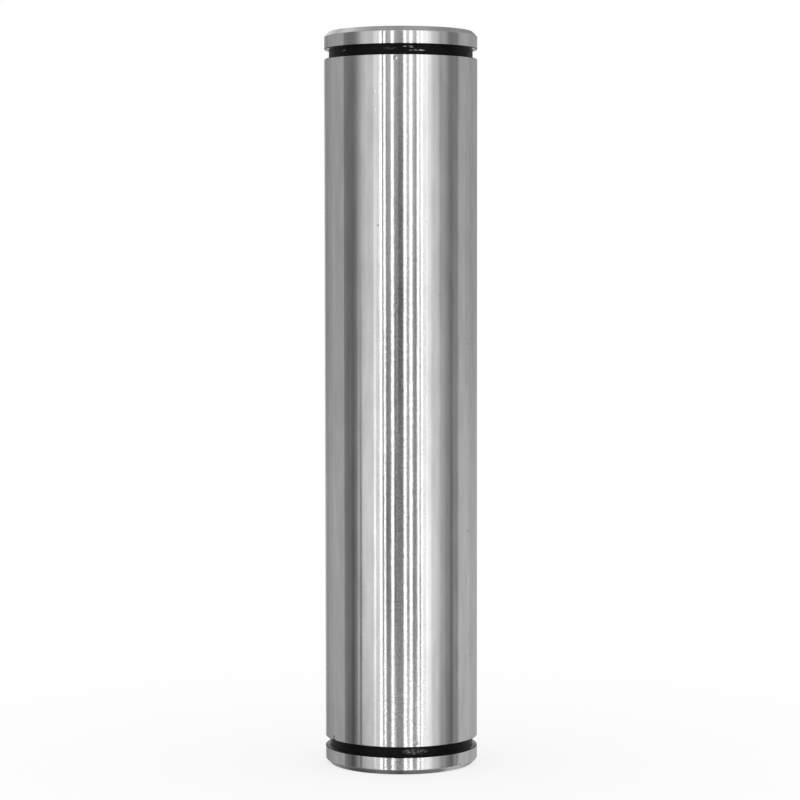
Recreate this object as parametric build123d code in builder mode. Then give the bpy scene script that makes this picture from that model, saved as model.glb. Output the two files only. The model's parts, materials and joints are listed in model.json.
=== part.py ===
"""Bucket pivot pin: a straight hardened and ground steel pin, turned from one bar.

The pin joins an excavator's bucket to its arm or link. A retaining ring snapped
into the groove near each end keeps it in its bores. It stands on its lower end,
with its axis along +Z and the origin at the centre of that end face.
Lengths are in millimetres and angles in degrees.
"""

import os
from math import radians, tan

from build123d import *

os.makedirs("parts", exist_ok=True)

# Ground shank
pin_diameter = 50.0
pin_length = 240.0
end_chamfer = 1.6

# Grooves for heavy-duty shaft rings, one near each end
end_land_length = 5.8
ring_groove_width = 3.15
ring_groove_depth = 1.5
groove_mouth_chamfer = 0.15
groove_root_radius = 0.2

# Lathe centre drilled in each end face
centre_mouth_diameter = 8.5
centre_pilot_diameter = 4.0
centre_pilot_length = 3.5
centre_cone_angle = 60.0
centre_drill_tip_angle = 118.0

# Derived sizes
pin_radius = pin_diameter / 2
mid_length = pin_length / 2
groove_centre_height = end_land_length + ring_groove_width / 2
centre_mouth_radius = centre_mouth_diameter / 2
centre_pilot_radius = centre_pilot_diameter / 2
centre_cone_depth = (centre_mouth_radius - centre_pilot_radius) / tan(radians(centre_cone_angle / 2))
centre_pilot_depth = centre_cone_depth + centre_pilot_length
centre_tip_depth = centre_pilot_depth + centre_pilot_radius / tan(radians(centre_drill_tip_angle / 2))

# Both ends are alike, so the lower half is turned first and then mirrored
with BuildPart() as pivot_pin:
    # Shank, ground to one diameter from end to end, with its rim chamfered
    with BuildSketch():
        Circle(pin_radius)
    extrude(amount=mid_length)
    chamfer(pivot_pin.edges().group_by(Axis.Z)[0], end_chamfer)

    # Square-walled ring groove with a small radius in each root
    with BuildSketch(Plane.XZ) as ring_groove:
        with Locations((pin_radius, groove_centre_height)):
            Rectangle(2 * ring_groove_depth, ring_groove_width)
        fillet(ring_groove.vertices().group_by(Axis.X)[0], groove_root_radius)
    revolve(axis=Axis.Z, mode=Mode.SUBTRACT)
    groove_rims = pivot_pin.edges(Select.LAST).filter_by(GeomType.CIRCLE).group_by(SortBy.RADIUS)[-1]
    chamfer(groove_rims, groove_mouth_chamfer)

    # Centre hole: a cone that the lathe centre seats in, and a pilot that clears its point
    with BuildSketch(Plane.XZ):
        with BuildLine():
            Polyline(
                (0, 0),
                (centre_mouth_radius, 0),
                (centre_pilot_radius, centre_cone_depth),
                (centre_pilot_radius, centre_pilot_depth),
                (0, centre_tip_depth),
                close=True,
            )
        make_face()
    revolve(axis=Axis.Z, mode=Mode.SUBTRACT)

    mirror(about=Plane.XY.offset(mid_length))

pivot_pin.part.label = "pivot_pin"
export_step(pivot_pin.part, "parts/pivot_pin.step")
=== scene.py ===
"""Bucket pivot pin, dressed: a ground steel pin standing on its end on a pale studio floor."""

import json
from math import ceil, cos, hypot, pi, radians, sin, tan

import bpy
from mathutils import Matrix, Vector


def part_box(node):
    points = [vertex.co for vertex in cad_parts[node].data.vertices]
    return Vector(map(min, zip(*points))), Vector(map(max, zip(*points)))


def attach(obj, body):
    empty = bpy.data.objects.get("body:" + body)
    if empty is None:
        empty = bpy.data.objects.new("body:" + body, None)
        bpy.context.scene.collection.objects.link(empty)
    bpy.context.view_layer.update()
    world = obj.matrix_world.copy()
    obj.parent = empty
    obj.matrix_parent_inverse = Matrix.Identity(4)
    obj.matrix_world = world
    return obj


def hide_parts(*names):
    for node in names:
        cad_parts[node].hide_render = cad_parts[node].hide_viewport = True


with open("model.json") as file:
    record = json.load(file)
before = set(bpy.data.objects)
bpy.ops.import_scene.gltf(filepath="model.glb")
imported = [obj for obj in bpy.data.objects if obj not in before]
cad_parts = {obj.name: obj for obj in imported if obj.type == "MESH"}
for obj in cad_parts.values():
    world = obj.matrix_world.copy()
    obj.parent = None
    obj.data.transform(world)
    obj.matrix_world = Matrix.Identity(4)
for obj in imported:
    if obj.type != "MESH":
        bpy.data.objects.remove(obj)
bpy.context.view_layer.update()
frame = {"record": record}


# The pin is one bar of hardened steel, turned between centres, then ground on its outside.
# Half of its outline is drawn from the lower drill point to the middle of the shank, the
# corners are eased, and the outline is spun round the axis as the lathe does and mirrored.
mounts = {mount["name"]: mount for mount in frame["record"]["mounts"]}
pin_radius = mounts["shank"]["dims"]["r_mm"] / 1000
pin_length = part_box("pivot_pin")[1].z
end_chamfer = 0.0016
handled_length = 0.003
pin_facets = 480
same_point = 1e-6

groove_floor_radius = mounts["lower_ring_groove"]["dims"]["r_mm"] / 1000
groove_width = mounts["lower_ring_groove"]["dims"]["length_mm"] / 1000
groove_outer_wall = mounts["lower_ring_groove"]["pos_m"][2] - groove_width / 2
groove_inner_wall = groove_outer_wall + groove_width

centre_cone_half_angle = radians(30)
drill_point_half_angle = radians(59)
centre_mouth_radius = 0.00425
centre_pilot_radius = mounts["lower_lathe_centre"]["dims"]["r_mm"] / 1000
centre_cone_depth = (centre_mouth_radius - centre_pilot_radius) / tan(centre_cone_half_angle)
centre_pilot_depth = centre_cone_depth + mounts["lower_lathe_centre"]["dims"]["length_mm"] / 1000
drill_point_depth = centre_pilot_depth + centre_pilot_radius / tan(drill_point_half_angle)

drill_point = (0.0, drill_point_depth)
pilot_floor = (centre_pilot_radius, centre_pilot_depth)
pilot_mouth = (centre_pilot_radius, centre_cone_depth)
cone_mouth = (centre_mouth_radius, 0.0)
chamfer_foot = (pin_radius - end_chamfer, 0.0)
chamfer_head = (pin_radius, end_chamfer)
outer_mouth = (pin_radius, groove_outer_wall)
outer_root = (groove_floor_radius, groove_outer_wall)
inner_root = (groove_floor_radius, groove_inner_wall)
inner_mouth = (pin_radius, groove_inner_wall)
handled_shank = (pin_radius, groove_inner_wall + handled_length)
shank_middle = (pin_radius, pin_length / 2)

# Each stretch of the outline ends at a corner, and is cut into short steps
outline = [
    (pilot_floor, 1),
    (pilot_mouth, 3),
    (cone_mouth, 3),
    (chamfer_foot, 8),
    (chamfer_head, 3),
    (outer_mouth, 10),
    (outer_root, 2),
    (inner_root, 6),
    (inner_mouth, 2),
    (handled_shank, 7),
    (shank_middle, 22),
]
groove_mouth_ease = 0.00022
eased_corners = {
    cone_mouth: 0.00008,
    chamfer_foot: 0.0001,
    chamfer_head: 0.0001,
    outer_mouth: groove_mouth_ease,
    outer_root: 0.0002,
    inner_root: 0.0002,
    inner_mouth: groove_mouth_ease,
}

bpy.ops.object.select_all(action="DESELECT")
bpy.ops.mesh.primitive_plane_add(size=0.001)
pin = bpy.context.object
pin.name = "pivot_pin_body"
bpy.ops.object.mode_set(mode="EDIT")
bpy.ops.mesh.select_mode(type="VERT")
bpy.ops.mesh.merge(type="CENTER")
bpy.ops.transform.translate(value=(0, 0, drill_point_depth))
reached = drill_point
for corner, steps in outline:
    step = ((corner[0] - reached[0]) / steps, 0, (corner[1] - reached[1]) / steps)
    for _ in range(steps):
        bpy.ops.mesh.extrude_region_move(TRANSFORM_OT_translate={"value": step})
    reached = corner
for corner, ease in eased_corners.items():
    bpy.ops.mesh.select_all(action="DESELECT")
    bpy.ops.object.mode_set(mode="OBJECT")
    for vertex in pin.data.vertices:
        vertex.select = hypot(vertex.co.x - corner[0], vertex.co.z - corner[1]) < same_point
    bpy.ops.object.mode_set(mode="EDIT")
    bpy.ops.mesh.bevel(offset=ease, segments=3, affect="VERTICES")

bpy.ops.mesh.select_all(action="SELECT")
bpy.ops.mesh.spin(steps=pin_facets, angle=2 * pi, center=(0, 0, 0), axis=(0, 0, 1))
bpy.ops.object.mode_set(mode="OBJECT")
upper_half = pin.modifiers.new("upper_half", "MIRROR")
upper_half.use_axis = (False, False, True)
upper_half.merge_threshold = same_point
bpy.ops.object.empty_add(location=(0, 0, pin_length / 2))
mid_length = bpy.context.object
upper_half.mirror_object = mid_length
bpy.context.view_layer.objects.active = pin
bpy.ops.object.modifier_apply(modifier="upper_half")
bpy.data.objects.remove(mid_length)
bpy.ops.object.select_all(action="DESELECT")
pin.select_set(True)
bpy.ops.object.mode_set(mode="EDIT")
bpy.ops.mesh.select_all(action="SELECT")
bpy.ops.mesh.remove_doubles(threshold=same_point)
bpy.ops.mesh.normals_make_consistent(inside=False)
bpy.ops.object.mode_set(mode="OBJECT")
bpy.ops.object.shade_smooth_by_angle(angle=radians(30))

# Handling marks, each pushed in from its deepest point: degrees round the pin from the camera's
# side, height above the lower face, how far it reaches and how deep it is
nicks = [
    (-3.6, 0.2296, 0.0006, 0.00007),
    (10.2, 0.0106, 0.0007, 0.00004),
    (11.8, 0.0104, 0.0005, 0.00003),
    (-61.5, 0.0095, 0.0008, 0.00020),
    (49.8, 0.0012, 0.0007, 0.00024),
    (53.0, 0.0019, 0.0005, 0.00008),
    (-151.0, 0.0018, 0.0008, 0.00014),
    (128.0, 0.2383, 0.0007, 0.00012),
    (-98.0, 0.2309, 0.0006, 0.00010),
    (171.0, 0.0092, 0.0007, 0.00015),
    (95.0, 0.0040, 0.0009, 0.00004),
    (-120.0, 0.2355, 0.0009, 0.00004),
]
bpy.ops.object.mode_set(mode="EDIT")
bpy.ops.mesh.select_mode(type="VERT")
for azimuth, height, reach, depth in nicks:
    outward = (sin(radians(azimuth)), -cos(radians(azimuth)))
    spot_x = outward[0] * pin_radius
    spot_y = outward[1] * pin_radius
    bpy.ops.mesh.select_all(action="DESELECT")
    bpy.ops.object.mode_set(mode="OBJECT")
    deepest = min(
        pin.data.vertices,
        key=lambda vertex: hypot(vertex.co.x - spot_x, vertex.co.y - spot_y, vertex.co.z - height),
    )
    deepest.select = True
    bpy.ops.object.mode_set(mode="EDIT")
    bpy.ops.transform.translate(
        value=(-outward[0] * depth, -outward[1] * depth, 0),
        use_proportional_edit=True,
        proportional_edit_falloff="SMOOTH",
        proportional_size=reach,
    )
bpy.ops.object.mode_set(mode="OBJECT")


# Ground steel, on the shank and the end lands. The wheel leaves fine lines round the pin, so a
# reflection stays crisp from side to side and is drawn out along the axis.
def add_node(tree, kind, settings=(), **inputs):
    """Add a node with its settings and inputs. An input's name has _ where the node has a space."""
    node = tree.nodes.new(kind)
    for name, value in dict(settings).items():
        setattr(node, name, value)
    for name, value in inputs.items():
        socket = node.inputs[name.replace("_", " ")]
        if isinstance(value, bpy.types.NodeSocket):
            tree.links.new(value, socket)
        else:
            socket.default_value = value
    return node


def surface_noise(tree, scale, detail=2.0, turn=(0.0, 0.0, 0.4)):
    """Noise fixed to the pin, with about this many features per metre along X, Y and Z."""
    place = add_node(tree, "ShaderNodeTexCoord").outputs["Object"]
    stretched = add_node(tree, "ShaderNodeMapping", Vector=place, Scale=scale, Rotation=turn)
    return add_node(
        tree, "ShaderNodeTexNoise", Vector=stretched.outputs["Vector"], Scale=1.0, Detail=detail
    ).outputs["Fac"]


def spread(tree, value, from_low, from_high, low, high):
    """Spread the part of a value from from_low to from_high over low to high."""
    ranged = add_node(tree, "ShaderNodeMapRange", Value=value)
    ranged.inputs["From Min"].default_value = from_low
    ranged.inputs["From Max"].default_value = from_high
    ranged.inputs["To Min"].default_value = low
    ranged.inputs["To Max"].default_value = high
    return ranged.outputs["Result"]


def join_values(tree, operation, first, second):
    """Combine two values by a math operation."""
    node = add_node(tree, "ShaderNodeMath", {"operation": operation})
    for socket, value in zip(node.inputs, (first, second)):
        if isinstance(value, bpy.types.NodeSocket):
            tree.links.new(value, socket)
        else:
            socket.default_value = value
    return node.outputs["Value"]


def raise_surface(tree, height, depth, under=None):
    """Bump the surface by a height of 0 to 1 that stands for depth in metres."""
    bump = add_node(tree, "ShaderNodeBump", Height=height, Distance=depth, Strength=1.0)
    if under:
        tree.links.new(under, bump.inputs["Normal"])
    return bump.outputs["Normal"]


def new_steel(name, colour, roughness):
    """A bare steel finish whose cutting or grinding lines run round the pin."""
    steel = bpy.data.materials.new(name)
    steel.use_nodes = True
    tree = steel.node_tree
    shader = tree.nodes["Principled BSDF"]
    shader.inputs["Base Color"].default_value = (*colour, 1)
    shader.inputs["Metallic"].default_value = 1.0
    shader.inputs["Roughness"].default_value = roughness
    shader.inputs["Anisotropic"].default_value = 1.0
    shader.inputs["Anisotropic Rotation"].default_value = 0.25
    lines_round_pin = add_node(tree, "ShaderNodeTangent", {"direction_type": "RADIAL", "axis": "Z"})
    tree.links.new(lines_round_pin.outputs["Tangent"], shader.inputs["Tangent"])
    return steel, tree, shader


ground_steel, tree, shader = new_steel("ground_steel", (0.78, 0.78, 0.78), 0.16)

# Grinding leaves a long low waviness
long_waves = raise_surface(tree, surface_noise(tree, (90, 90, 45)), 0.00002)


def spot(tree, azimuth, height, half_width, half_height):
    """1 in the middle of an oval mark on the pin's side, 0 from its edge outwards. Its azimuth is
    in degrees round the pin, the camera's side being 0 and its right hand positive."""
    middle = (pin_radius * sin(radians(azimuth)), -pin_radius * cos(radians(azimuth)), height)
    place = add_node(tree, "ShaderNodeTexCoord").outputs["Object"]
    size = (half_width, half_width, half_height)
    from_middle = add_node(
        tree, "ShaderNodeMapping", {"vector_type": "TEXTURE"}, Vector=place, Location=middle, Scale=size
    )
    distance = add_node(
        tree, "ShaderNodeVectorMath", {"operation": "LENGTH"}, Vector=from_middle.outputs["Vector"]
    )
    return spread(tree, distance.outputs["Value"], 1.0, 0.3, 0.0, 1.0)


# Grinding also leaves fine lines round the pin, deeper where handling has worn the surface,
# most of all in one patch near its lower end
worn_patch = spot(tree, 1.5, 0.020, 0.010, 0.050)
worn_front = join_values(tree, "MULTIPLY", spot(tree, 1.0, 0.12, 0.010, 0.15), 0.8)
worn_place = join_values(tree, "MAXIMUM", worn_patch, worn_front)
other_patches = spread(tree, surface_noise(tree, (120, 120, 60)), 0.5, 0.7, 0.0, 0.3)
worn = join_values(tree, "MAXIMUM", worn_place, other_patches)
line_depth = spread(tree, worn, 0.0, 1.0, 0.8, 1.3)
lines = join_values(tree, "MULTIPLY", surface_noise(tree, (500, 500, 3000)), line_depth)
ground_lines = raise_surface(tree, lines, 0.000013, long_waves)

# Light scratches and dents on the shank: azimuth, height, half width, half height
scratches = [
    (-19.8, 0.2192, 0.0004, 0.0009),
    (-19.6, 0.2135, 0.0004, 0.0006),
    (66.0, 0.1769, 0.0050, 0.00018),
    (61.4, 0.1529, 0.0006, 0.0006),
    (55.5, 0.0553, 0.0006, 0.0006),
    (117.0, 0.1210, 0.0040, 0.00020),
    (-104.0, 0.0640, 0.0005, 0.0030),
    (166.0, 0.1950, 0.0030, 0.00018),
    (-158.0, 0.1470, 0.0007, 0.0007),
]
scratched = 0.0
for scratch in scratches:
    scratched = join_values(tree, "MAXIMUM", spot(tree, *scratch), scratched)
tree.links.new(raise_surface(tree, scratched, 0.000020, ground_lines), shader.inputs["Normal"])

# The shine is a little uneven, a few dark rust specks and a small dark pit show, and the colour is darkened
# at the deep nick by the lower groove
clouds = surface_noise(tree, (45, 45, 30), 3.0)
tree.links.new(spread(tree, clouds, 0.35, 0.65, 0.10, 0.14), shader.inputs["Roughness"])
streaks = spread(tree, surface_noise(tree, (320, 320, 60), 3.0), 0.3, 0.7, 0.72, 0.84)
speckle = spread(tree, surface_noise(tree, (2600, 2600, 2600), 1.0), 0.35, 0.65, -0.20, 0.20)
mottle = join_values(tree, "ADD", streaks, join_values(tree, "MULTIPLY", speckle, worn_place))
rust = spread(tree, surface_noise(tree, (700, 700, 700), 0.0, (0.5, 0.9, 0.3)), 0.875, 0.90, 0.0, 0.5)
# The colour is darkened round the deep nick just above the lower groove
nick_darkening = spot(tree, -61.6, 0.0099, 0.0007, 0.0013)
shank_pit = spot(tree, 60.6, 0.0776, 0.0004, 0.0005)
dark_spots = join_values(tree, "MAXIMUM", nick_darkening, shank_pit)
dark = join_values(tree, "MAXIMUM", rust, dark_spots)
rust_and_dark_spots = add_node(tree, "ShaderNodeMix", {"data_type": "RGBA"}, Factor=dark)
bright = add_node(tree, "ShaderNodeCombineColor", Red=mottle, Green=mottle, Blue=mottle)
tree.links.new(bright.outputs["Color"], rust_and_dark_spots.inputs["A"])
rust_and_dark_spots.inputs["B"].default_value = (0.11, 0.10, 0.09, 1)
tree.links.new(rust_and_dark_spots.outputs["Result"], shader.inputs["Base Color"])

# Turned steel, on the end faces and the chamfers: the tool's own spiral shows
turned_steel, tree, shader = new_steel("turned_steel", (0.70, 0.70, 0.70), 0.33)
place = add_node(tree, "ShaderNodeTexCoord").outputs["Object"]
flattened = add_node(tree, "ShaderNodeMapping", Vector=place, Scale=(1, 1, 0)).outputs["Vector"]
radius = add_node(tree, "ShaderNodeVectorMath", {"operation": "LENGTH"}, Vector=flattened).outputs["Value"]
height = add_node(tree, "ShaderNodeSeparateXYZ", Vector=place).outputs["Z"]
tool_path = add_node(tree, "ShaderNodeCombineXYZ", X=radius, Y=height).outputs["Vector"]
tool_marks = add_node(tree, "ShaderNodeTexNoise", Vector=tool_path, Scale=3200.0, Detail=2.0).outputs["Fac"]
tree.links.new(raise_surface(tree, tool_marks, 0.000012), shader.inputs["Normal"])
dullness = spread(tree, surface_noise(tree, (90, 90, 90)), 0.35, 0.65, 0.29, 0.37)
tree.links.new(dullness, shader.inputs["Roughness"])

# The drilled lathe centres are dull and dark. The groove walls are cut smoother, and their colour is
# darkened as painted shade inside the grooves
drilled_steel = new_steel("drilled_steel", (0.42, 0.41, 0.40), 0.45)[0]
groove_steel = new_steel("groove_steel", (0.42, 0.42, 0.42), 0.20)[0]

# The grooves are blackened: a thin coat over the tool marks, a little glossy
groove_black = bpy.data.materials.new("groove_black")
groove_black.use_nodes = True
tree = groove_black.node_tree
shader = tree.nodes["Principled BSDF"]
shader.inputs["IOR"].default_value = 1.18
place = add_node(tree, "ShaderNodeTexCoord").outputs["Object"]
height = add_node(tree, "ShaderNodeSeparateXYZ", Vector=place).outputs["Z"]
ridges = add_node(
    tree, "ShaderNodeTexNoise", {"noise_dimensions": "1D"}, W=height, Scale=1100.0, Detail=1.0
)
coat = raise_surface(tree, surface_noise(tree, (500, 500, 900)), 0.000012)
tree.links.new(raise_surface(tree, ridges.outputs["Fac"], 0.00008, coat), shader.inputs["Normal"])
gloss = spread(tree, surface_noise(tree, (300, 300, 500)), 0.35, 0.65, 0.18, 0.38)
tree.links.new(gloss, shader.inputs["Roughness"])

# Rubbed spots where bare steel shows through the black: how bare, then azimuth, height, half
# width and half height
rubs = [
    (1.0, 4.6, 0.23350, 0.0026, 0.00032),
    (3.0, 8.2, 0.23340, 0.0018, 0.00065),
    (2.5, 15.0, 0.23340, 0.0014, 0.00065),
    (1.6, 12.8, 0.23230, 0.0034, 0.00030),
    (0.15, -8.5, 0.23290, 0.0030, 0.00060),
    (0.6, -51.2, 0.23285, 0.0020, 0.00070),
    (0.4, 10.5, 0.00740, 0.0050, 0.00120),
    (0.6, 97.0, 0.00700, 0.0040, 0.00060),
    (0.7, -131.0, 0.00780, 0.0036, 0.00060),
    (0.6, 148.0, 0.23280, 0.0040, 0.00045),
    (0.7, -88.0, 0.23310, 0.0032, 0.00045),
]
rubbed = 0.0
for bareness, *oval in rubs:
    rub = join_values(tree, "MULTIPLY", spot(tree, *oval), bareness)
    rubbed = join_values(tree, "MAXIMUM", rub, rubbed)
flecks = spread(tree, surface_noise(tree, (900, 900, 4500), 1.0), 0.48, 0.62, 0.06, 1.0)
bare = join_values(tree, "MULTIPLY", rubbed, flecks)
tree.links.new(bare, shader.inputs["Metallic"])
coat_colour = add_node(tree, "ShaderNodeMix", {"data_type": "RGBA"}, Factor=bare)
coat_colour.inputs["A"].default_value = (0.005, 0.005, 0.005, 1)
coat_colour.inputs["B"].default_value = (0.85, 0.85, 0.85, 1)
tree.links.new(coat_colour.outputs["Result"], shader.inputs["Base Color"])

# Each face takes its finish from its place: inside a lathe centre, on a groove's wall, elsewhere
# in a groove, or turned because it lies deeper than the grinding wheel and its eased corners reach
finishes = [ground_steel, turned_steel, drilled_steel, groove_black, groove_steel]
for finish in finishes:
    pin.data.materials.append(finish)
slack = 0.00001
wall_rise = 0.0003
grinding_reach = 0.00012
groove_bottom = groove_outer_wall - groove_mouth_ease - slack
groove_top = groove_inner_wall + groove_mouth_ease + slack
for face in pin.data.polygons:
    radii = [hypot(*pin.data.vertices[index].co.xy) for index in face.vertices]
    heights = [pin.data.vertices[index].co.z for index in face.vertices]
    from_end = min(min(heights), pin_length - max(heights))
    in_groove = groove_bottom < from_end < groove_top
    if max(radii) < centre_mouth_radius + slack:
        face.material_index = finishes.index(drilled_steel)
    elif in_groove and max(radii) - min(radii) > wall_rise:
        face.material_index = finishes.index(groove_steel)
    elif in_groove and min(radii) < pin_radius - slack:
        face.material_index = finishes.index(groove_black)
    elif min(radii) < pin_radius - grinding_reach:
        face.material_index = finishes.index(turned_steel)

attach(pin, "root")
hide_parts("pivot_pin")


# The studio: a pale floor that fades into a white background, and a ring of paper strips and
# cards that only reflections see. The light is the white world all round, with no lamps.
camera_distance = 0.852
camera_height = 0.1647
camera_aside = -0.0003
camera_tilt = radians(3.024)
camera_roll = radians(0.057)
bpy.ops.object.camera_add(
    location=(camera_aside, -camera_distance, camera_height),
    rotation=(pi / 2 - camera_tilt, camera_roll, 0),
)
camera = bpy.context.object
camera.data.sensor_width = 36
camera.data.lens = 116.67
bpy.context.scene.camera = camera


# Strips of grey and white paper hang round the pin, each bent to the same circle. Only
# reflections see them: they are what gives the steel its streaks. Each has four tones, from its
# top to its foot, which its own colour carries to the one paper material.
def seen_in_reflections_only(card):
    """Hide a card from the camera, from matt surfaces and from shadows."""
    card.visible_camera = False
    card.visible_diffuse = False
    card.visible_shadow = False


strip_distance = 1.6
strip_foot = -1.1
strip_head = 1.35
strip_paper = bpy.data.materials.new("strip_paper")
strip_paper.use_nodes = True
tree = strip_paper.node_tree
tree.nodes.clear()
strip_info = add_node(tree, "ShaderNodeObjectInfo").outputs
channels = add_node(tree, "ShaderNodeSeparateColor", Color=strip_info["Color"]).outputs
place = add_node(tree, "ShaderNodeNewGeometry").outputs["Position"]
height = add_node(tree, "ShaderNodeSeparateXYZ", Vector=place).outputs["Z"]
to_middle = spread(tree, height, 0.32, 0.24, 0.0, 1.0)
tone = add_node(tree, "ShaderNodeMix", Factor=to_middle, A=channels["Red"], B=channels["Green"])
to_below = spread(tree, height, 0.12, -0.06, 0.0, 1.0)
tone = add_node(tree, "ShaderNodeMix", Factor=to_below, A=tone.outputs["Result"], B=channels["Blue"])
to_foot = spread(tree, height, -0.21, -0.30, 0.0, 1.0)
tone = add_node(tree, "ShaderNodeMix", Factor=to_foot, A=tone.outputs["Result"], B=strip_info["Alpha"])
glow = add_node(tree, "ShaderNodeEmission", Strength=tone.outputs["Result"])
add_node(tree, "ShaderNodeOutputMaterial", Surface=glow.outputs["Emission"])

# Each strip's left and right edge in degrees round the pin, the camera's side being 0 and its
# right hand positive, and then its brightness near its top, in its middle, below that and near
# its foot
strips = [
    (-180, -175.8, 0.12, 0.34, 0.42, 0.40),
    (-175.8, -173.4, 0.28, 0.90, 1.05, 1.10),
    (-173.4, -171.5, 0.16, 0.22, 0.24, 0.22),
    (-171.5, -168, 0.30, 0.50, 0.55, 0.50),
    (-168, -163, 0.31, 0.30, 0.36, 0.32),
    (-163, -160, 0.75, 0.75, 0.85, 0.75),
    (-160, -157.5, 0.18, 0.17, 0.20, 0.18),
    (-157.5, -140, 0.29, 0.28, 0.32, 0.27),
    (-140, -127, 0.34, 0.32, 0.38, 0.32),
    (-127, -94.8, 0.39, 0.38, 0.43, 0.36),
    (-94.8, -88.5, 0.21, 0.20, 0.21, 0.18),
    (-88.5, -80.5, 0.19, 0.16, 0.19, 0.12),
    (-80.5, -74.2, 0.18, 0.15, 0.13, 0.08),
    (-74.2, -71, 0.22, 0.18, 0.20, 0.15),
    (-71, -68.6, 0.27, 0.20, 0.27, 0.20),
    (-68.6, -64.6, 0.34, 0.31, 0.54, 0.23),
    (-64.6, -61.2, 0.44, 0.45, 0.21, 0.18),
    (-61.2, -58.5, 0.57, 0.53, 0.72, 0.34),
    (-58.5, -55.1, 0.58, 0.56, 0.84, 0.32),
    (-55.1, -50.2, 0.65, 0.66, 0.80, 0.42),
    (-50.2, -41.1, 0.62, 0.62, 0.84, 0.47),
    (-41.1, -38, 0.80, 0.84, 1.60, 0.50),
    (-38, -31.9, 0.88, 0.79, 0.82, 0.65),
    (-31.9, -28, 1.55, 1.55, 1.55, 1.40),
    (-28, -27.3, 0.02, 0.02, 0.35, 1.55),
    (-27.3, -26.1, 0.02, 0.02, 0.02, 0.02),
    (-26.1, -25.4, 1.55, 1.55, 0.02, 0.02),
    (-25.4, -22.7, 1.55, 1.55, 1.55, 1.55),
    (-22.7, -21.4, 0.36, 0.22, 0.12, 1.20),
    (-21.4, -20.4, 0.36, 0.22, 0.06, 0.15),
    (-20.4, -14.6, 0.57, 0.29, 0.18, 0.44),
    (-14.6, -10.6, 1.55, 1.55, 1.55, 1.55),
    (-10.6, -7.5, 0.54, 0.25, 0.02, 0.95),
    (-7.5, -4.2, 0.42, 0.31, 0.25, 0.36),
    (-4.2, 3.9, 0.43, 0.02, 0.26, 0.40),
    (3.9, 8.2, 1.55, 1.55, 1.55, 1.55),
    (8.2, 12.6, 0.76, 0.52, 0.16, 1.05),
    (12.6, 16.9, 1.55, 1.55, 1.55, 1.55),
    (16.9, 20.2, 0.78, 0.34, 0.20, 0.48),
    (20.2, 23.7, 0.57, 0.18, 0.26, 0.66),
    (23.7, 24.3, 1.55, 1.50, 0.40, 1.20),
    (24.3, 27.6, 1.55, 1.55, 1.50, 1.55),
    (27.6, 29.2, 0.60, 0.15, 0.02, 0.50),
    (29.2, 29.6, 1.55, 1.55, 0.02, 1.00),
    (29.6, 32.6, 1.55, 1.55, 1.55, 1.30),
    (32.6, 37.7, 1.17, 0.94, 1.08, 0.98),
    (37.7, 41, 1.24, 0.96, 1.42, 0.88),
    (41, 45.7, 0.98, 0.79, 1.18, 0.84),
    (45.7, 48.8, 0.80, 0.66, 0.85, 0.72),
    (48.8, 55.4, 0.66, 0.62, 0.83, 0.53),
    (55.4, 58.7, 0.53, 0.62, 0.71, 0.46),
    (58.7, 60.4, 0.40, 0.51, 0.61, 0.41),
    (60.4, 62.2, 0.35, 0.41, 0.56, 0.30),
    (62.2, 65.8, 0.36, 0.41, 0.48, 0.27),
    (65.8, 69.3, 0.40, 0.36, 0.44, 0.28),
    (69.3, 71.1, 0.37, 0.31, 0.36, 0.24),
    (71.1, 74.8, 0.32, 0.29, 0.31, 0.18),
    (74.8, 78.6, 0.24, 0.23, 0.29, 0.12),
    (78.6, 84.6, 0.20, 0.20, 0.17, 0.12),
    (84.6, 93, 0.21, 0.25, 0.29, 0.25),
    (93, 95.3, 0.23, 0.29, 0.32, 0.20),
    (95.3, 97.6, 0.32, 0.39, 0.44, 0.39),
    (97.6, 112, 0.40, 0.45, 0.52, 0.48),
    (112, 125, 0.41, 0.37, 0.54, 0.50),
    (125, 150, 0.36, 0.34, 0.46, 0.43),
    (150, 157, 0.34, 0.34, 0.41, 0.40),
    (157, 160, 0.55, 0.55, 0.65, 0.60),
    (160, 163, 0.34, 0.34, 0.41, 0.40),
    (163, 167, 0.16, 0.16, 0.20, 0.18),
    (167, 171, 0.30, 0.30, 0.36, 0.32),
    (171, 173.6, 0.25, 0.55, 0.75, 0.80),
    (173.6, 175.8, 0.28, 0.90, 1.05, 1.20),
    (175.8, 180, 0.12, 0.34, 0.42, 0.40),
]
degrees_per_bend = 2
for left, right, *tones in strips:
    foot_x = strip_distance * sin(radians(left))
    foot_y = -strip_distance * cos(radians(left))
    bpy.ops.object.select_all(action="DESELECT")
    bpy.ops.mesh.primitive_plane_add(size=0.001, location=(foot_x, foot_y, strip_foot))
    strip = bpy.context.object
    strip.name = "paper_strip"
    bpy.ops.object.mode_set(mode="EDIT")
    bpy.ops.mesh.merge(type="CENTER")
    bpy.ops.mesh.extrude_region_move(TRANSFORM_OT_translate={"value": (0, 0, strip_head - strip_foot)})
    bpy.ops.mesh.select_all(action="SELECT")
    bends = ceil((right - left) / degrees_per_bend)
    bpy.ops.mesh.spin(steps=bends, angle=radians(left - right), center=(0, 0, 0), axis=(0, 0, 1))
    bpy.ops.object.mode_set(mode="OBJECT")
    strip.color = tones
    strip.data.materials.append(strip_paper)
    seen_in_reflections_only(strip)


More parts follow.
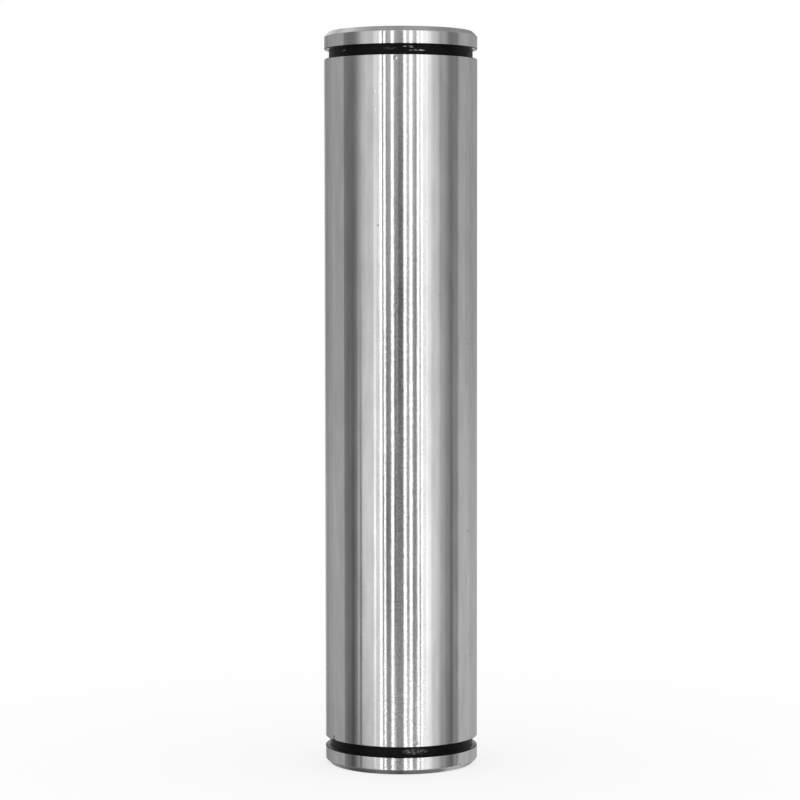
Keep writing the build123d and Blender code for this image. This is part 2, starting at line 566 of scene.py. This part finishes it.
# A grey roof, brighter behind and to the left, is what the upper chamfer and end face mirror.
# The ground is brighter behind and to the right and darker behind and to the left, with a small
# dark disc just under the foot, a painted shadow that stands in for the floor's shadow at the
# foot: these are what the lower chamfer mirrors.
def glowing_card(name, tone):
    """Give the card just added a name and an even brightness, for reflections only."""
    card = bpy.context.object
    card.name = name
    paper = bpy.data.materials.new(name)
    paper.use_nodes = True
    paper.node_tree.nodes.clear()
    glow = add_node(paper.node_tree, "ShaderNodeEmission", Color=(1, 1, 1, 1), Strength=tone)
    add_node(paper.node_tree, "ShaderNodeOutputMaterial", Surface=glow.outputs["Emission"])
    card.data.materials.append(paper)
    seen_in_reflections_only(card)


bpy.ops.mesh.primitive_circle_add(
    vertices=96, radius=strip_distance, fill_type="NGON", location=(0, 0, strip_head)
)
glowing_card("roof", 0.40)
card_gap = 0.05
bpy.ops.mesh.primitive_plane_add(size=0.9, location=(-0.75, 0.85, strip_head - card_gap))
glowing_card("roof_window", 1.2)
bpy.ops.mesh.primitive_plane_add(size=0.8, location=(-0.5, 1.15, 0.85), rotation=(pi / 2, 0, radians(23)))
glowing_card("back_window", 1.0)
bpy.ops.mesh.primitive_circle_add(
    vertices=96, radius=strip_distance, fill_type="NGON", location=(0, 0, strip_foot)
)
glowing_card("ground", 0.45)
bpy.ops.mesh.primitive_plane_add(size=1.1, location=(0.85, 0.75, strip_foot + card_gap))
glowing_card("ground_window", 0.75)
bpy.ops.mesh.primitive_plane_add(size=1.2, location=(-0.65, 1.0, strip_foot + card_gap))
glowing_card("ground_shade", 0.18)
# A painted shadow: a dark disc under the foot, which the lower chamfer mirrors in place of the floor's
# shadow there
bpy.ops.mesh.primitive_circle_add(
    vertices=48, radius=0.028, fill_type="NGON", location=(-0.004, -0.01, -0.02)
)
glowing_card("foot_shade", 0.02)

# Pale floor paper under the pin, which fades into the white background. It keeps some of the
# pin's shadow near the foot, and from below it isn't there.
fade_start = 0.03
fade_end = 0.3
white_at_foot = 0.72
bpy.ops.mesh.primitive_circle_add(vertices=128, radius=4.0, fill_type="NGON")
floor = bpy.context.object
floor.name = "floor"
floor.visible_glossy = False
floor_paper = bpy.data.materials.new("floor_paper")
floor_paper.use_nodes = True
tree = floor_paper.node_tree
tree.nodes.remove(tree.nodes["Principled BSDF"])
matt = add_node(tree, "ShaderNodeBsdfDiffuse", Color=(0.93, 0.93, 0.93, 1)).outputs["BSDF"]
white = add_node(tree, "ShaderNodeEmission", Color=(1, 1, 1, 1), Strength=1.0).outputs["Emission"]
place = add_node(tree, "ShaderNodeTexCoord").outputs["Object"]
from_pin = add_node(tree, "ShaderNodeVectorMath", {"operation": "LENGTH"}, Vector=place).outputs["Value"]
fade = add_node(tree, "ShaderNodeMapRange", {"interpolation_type": "SMOOTHSTEP"}, Value=from_pin)
fade.inputs["From Min"].default_value = fade_start
fade.inputs["From Max"].default_value = fade_end
fade.inputs["To Min"].default_value = white_at_foot
to_camera = add_node(tree, "ShaderNodeLightPath").outputs["Is Camera Ray"]
share = join_values(tree, "MULTIPLY", fade.outputs["Result"], to_camera)
faded = add_node(tree, "ShaderNodeMixShader", Fac=share)
tree.links.new(matt, faded.inputs[1])
tree.links.new(white, faded.inputs[2])
underside = add_node(tree, "ShaderNodeNewGeometry").outputs["Backfacing"]
one_sided = add_node(tree, "ShaderNodeMixShader", Fac=underside)
tree.links.new(faded.outputs["Shader"], one_sided.inputs[1])
tree.links.new(add_node(tree, "ShaderNodeBsdfTransparent").outputs["BSDF"], one_sided.inputs[2])
tree.links.new(one_sided.outputs["Shader"], tree.nodes["Material Output"].inputs["Surface"])
floor.data.materials.append(floor_paper)

world = bpy.data.worlds.new("studio")
world.use_nodes = True
bpy.context.scene.world = world
world.node_tree.nodes["Background"].inputs["Color"].default_value = (1, 1, 1, 1)

bpy.context.scene.view_settings.view_transform = "Standard"
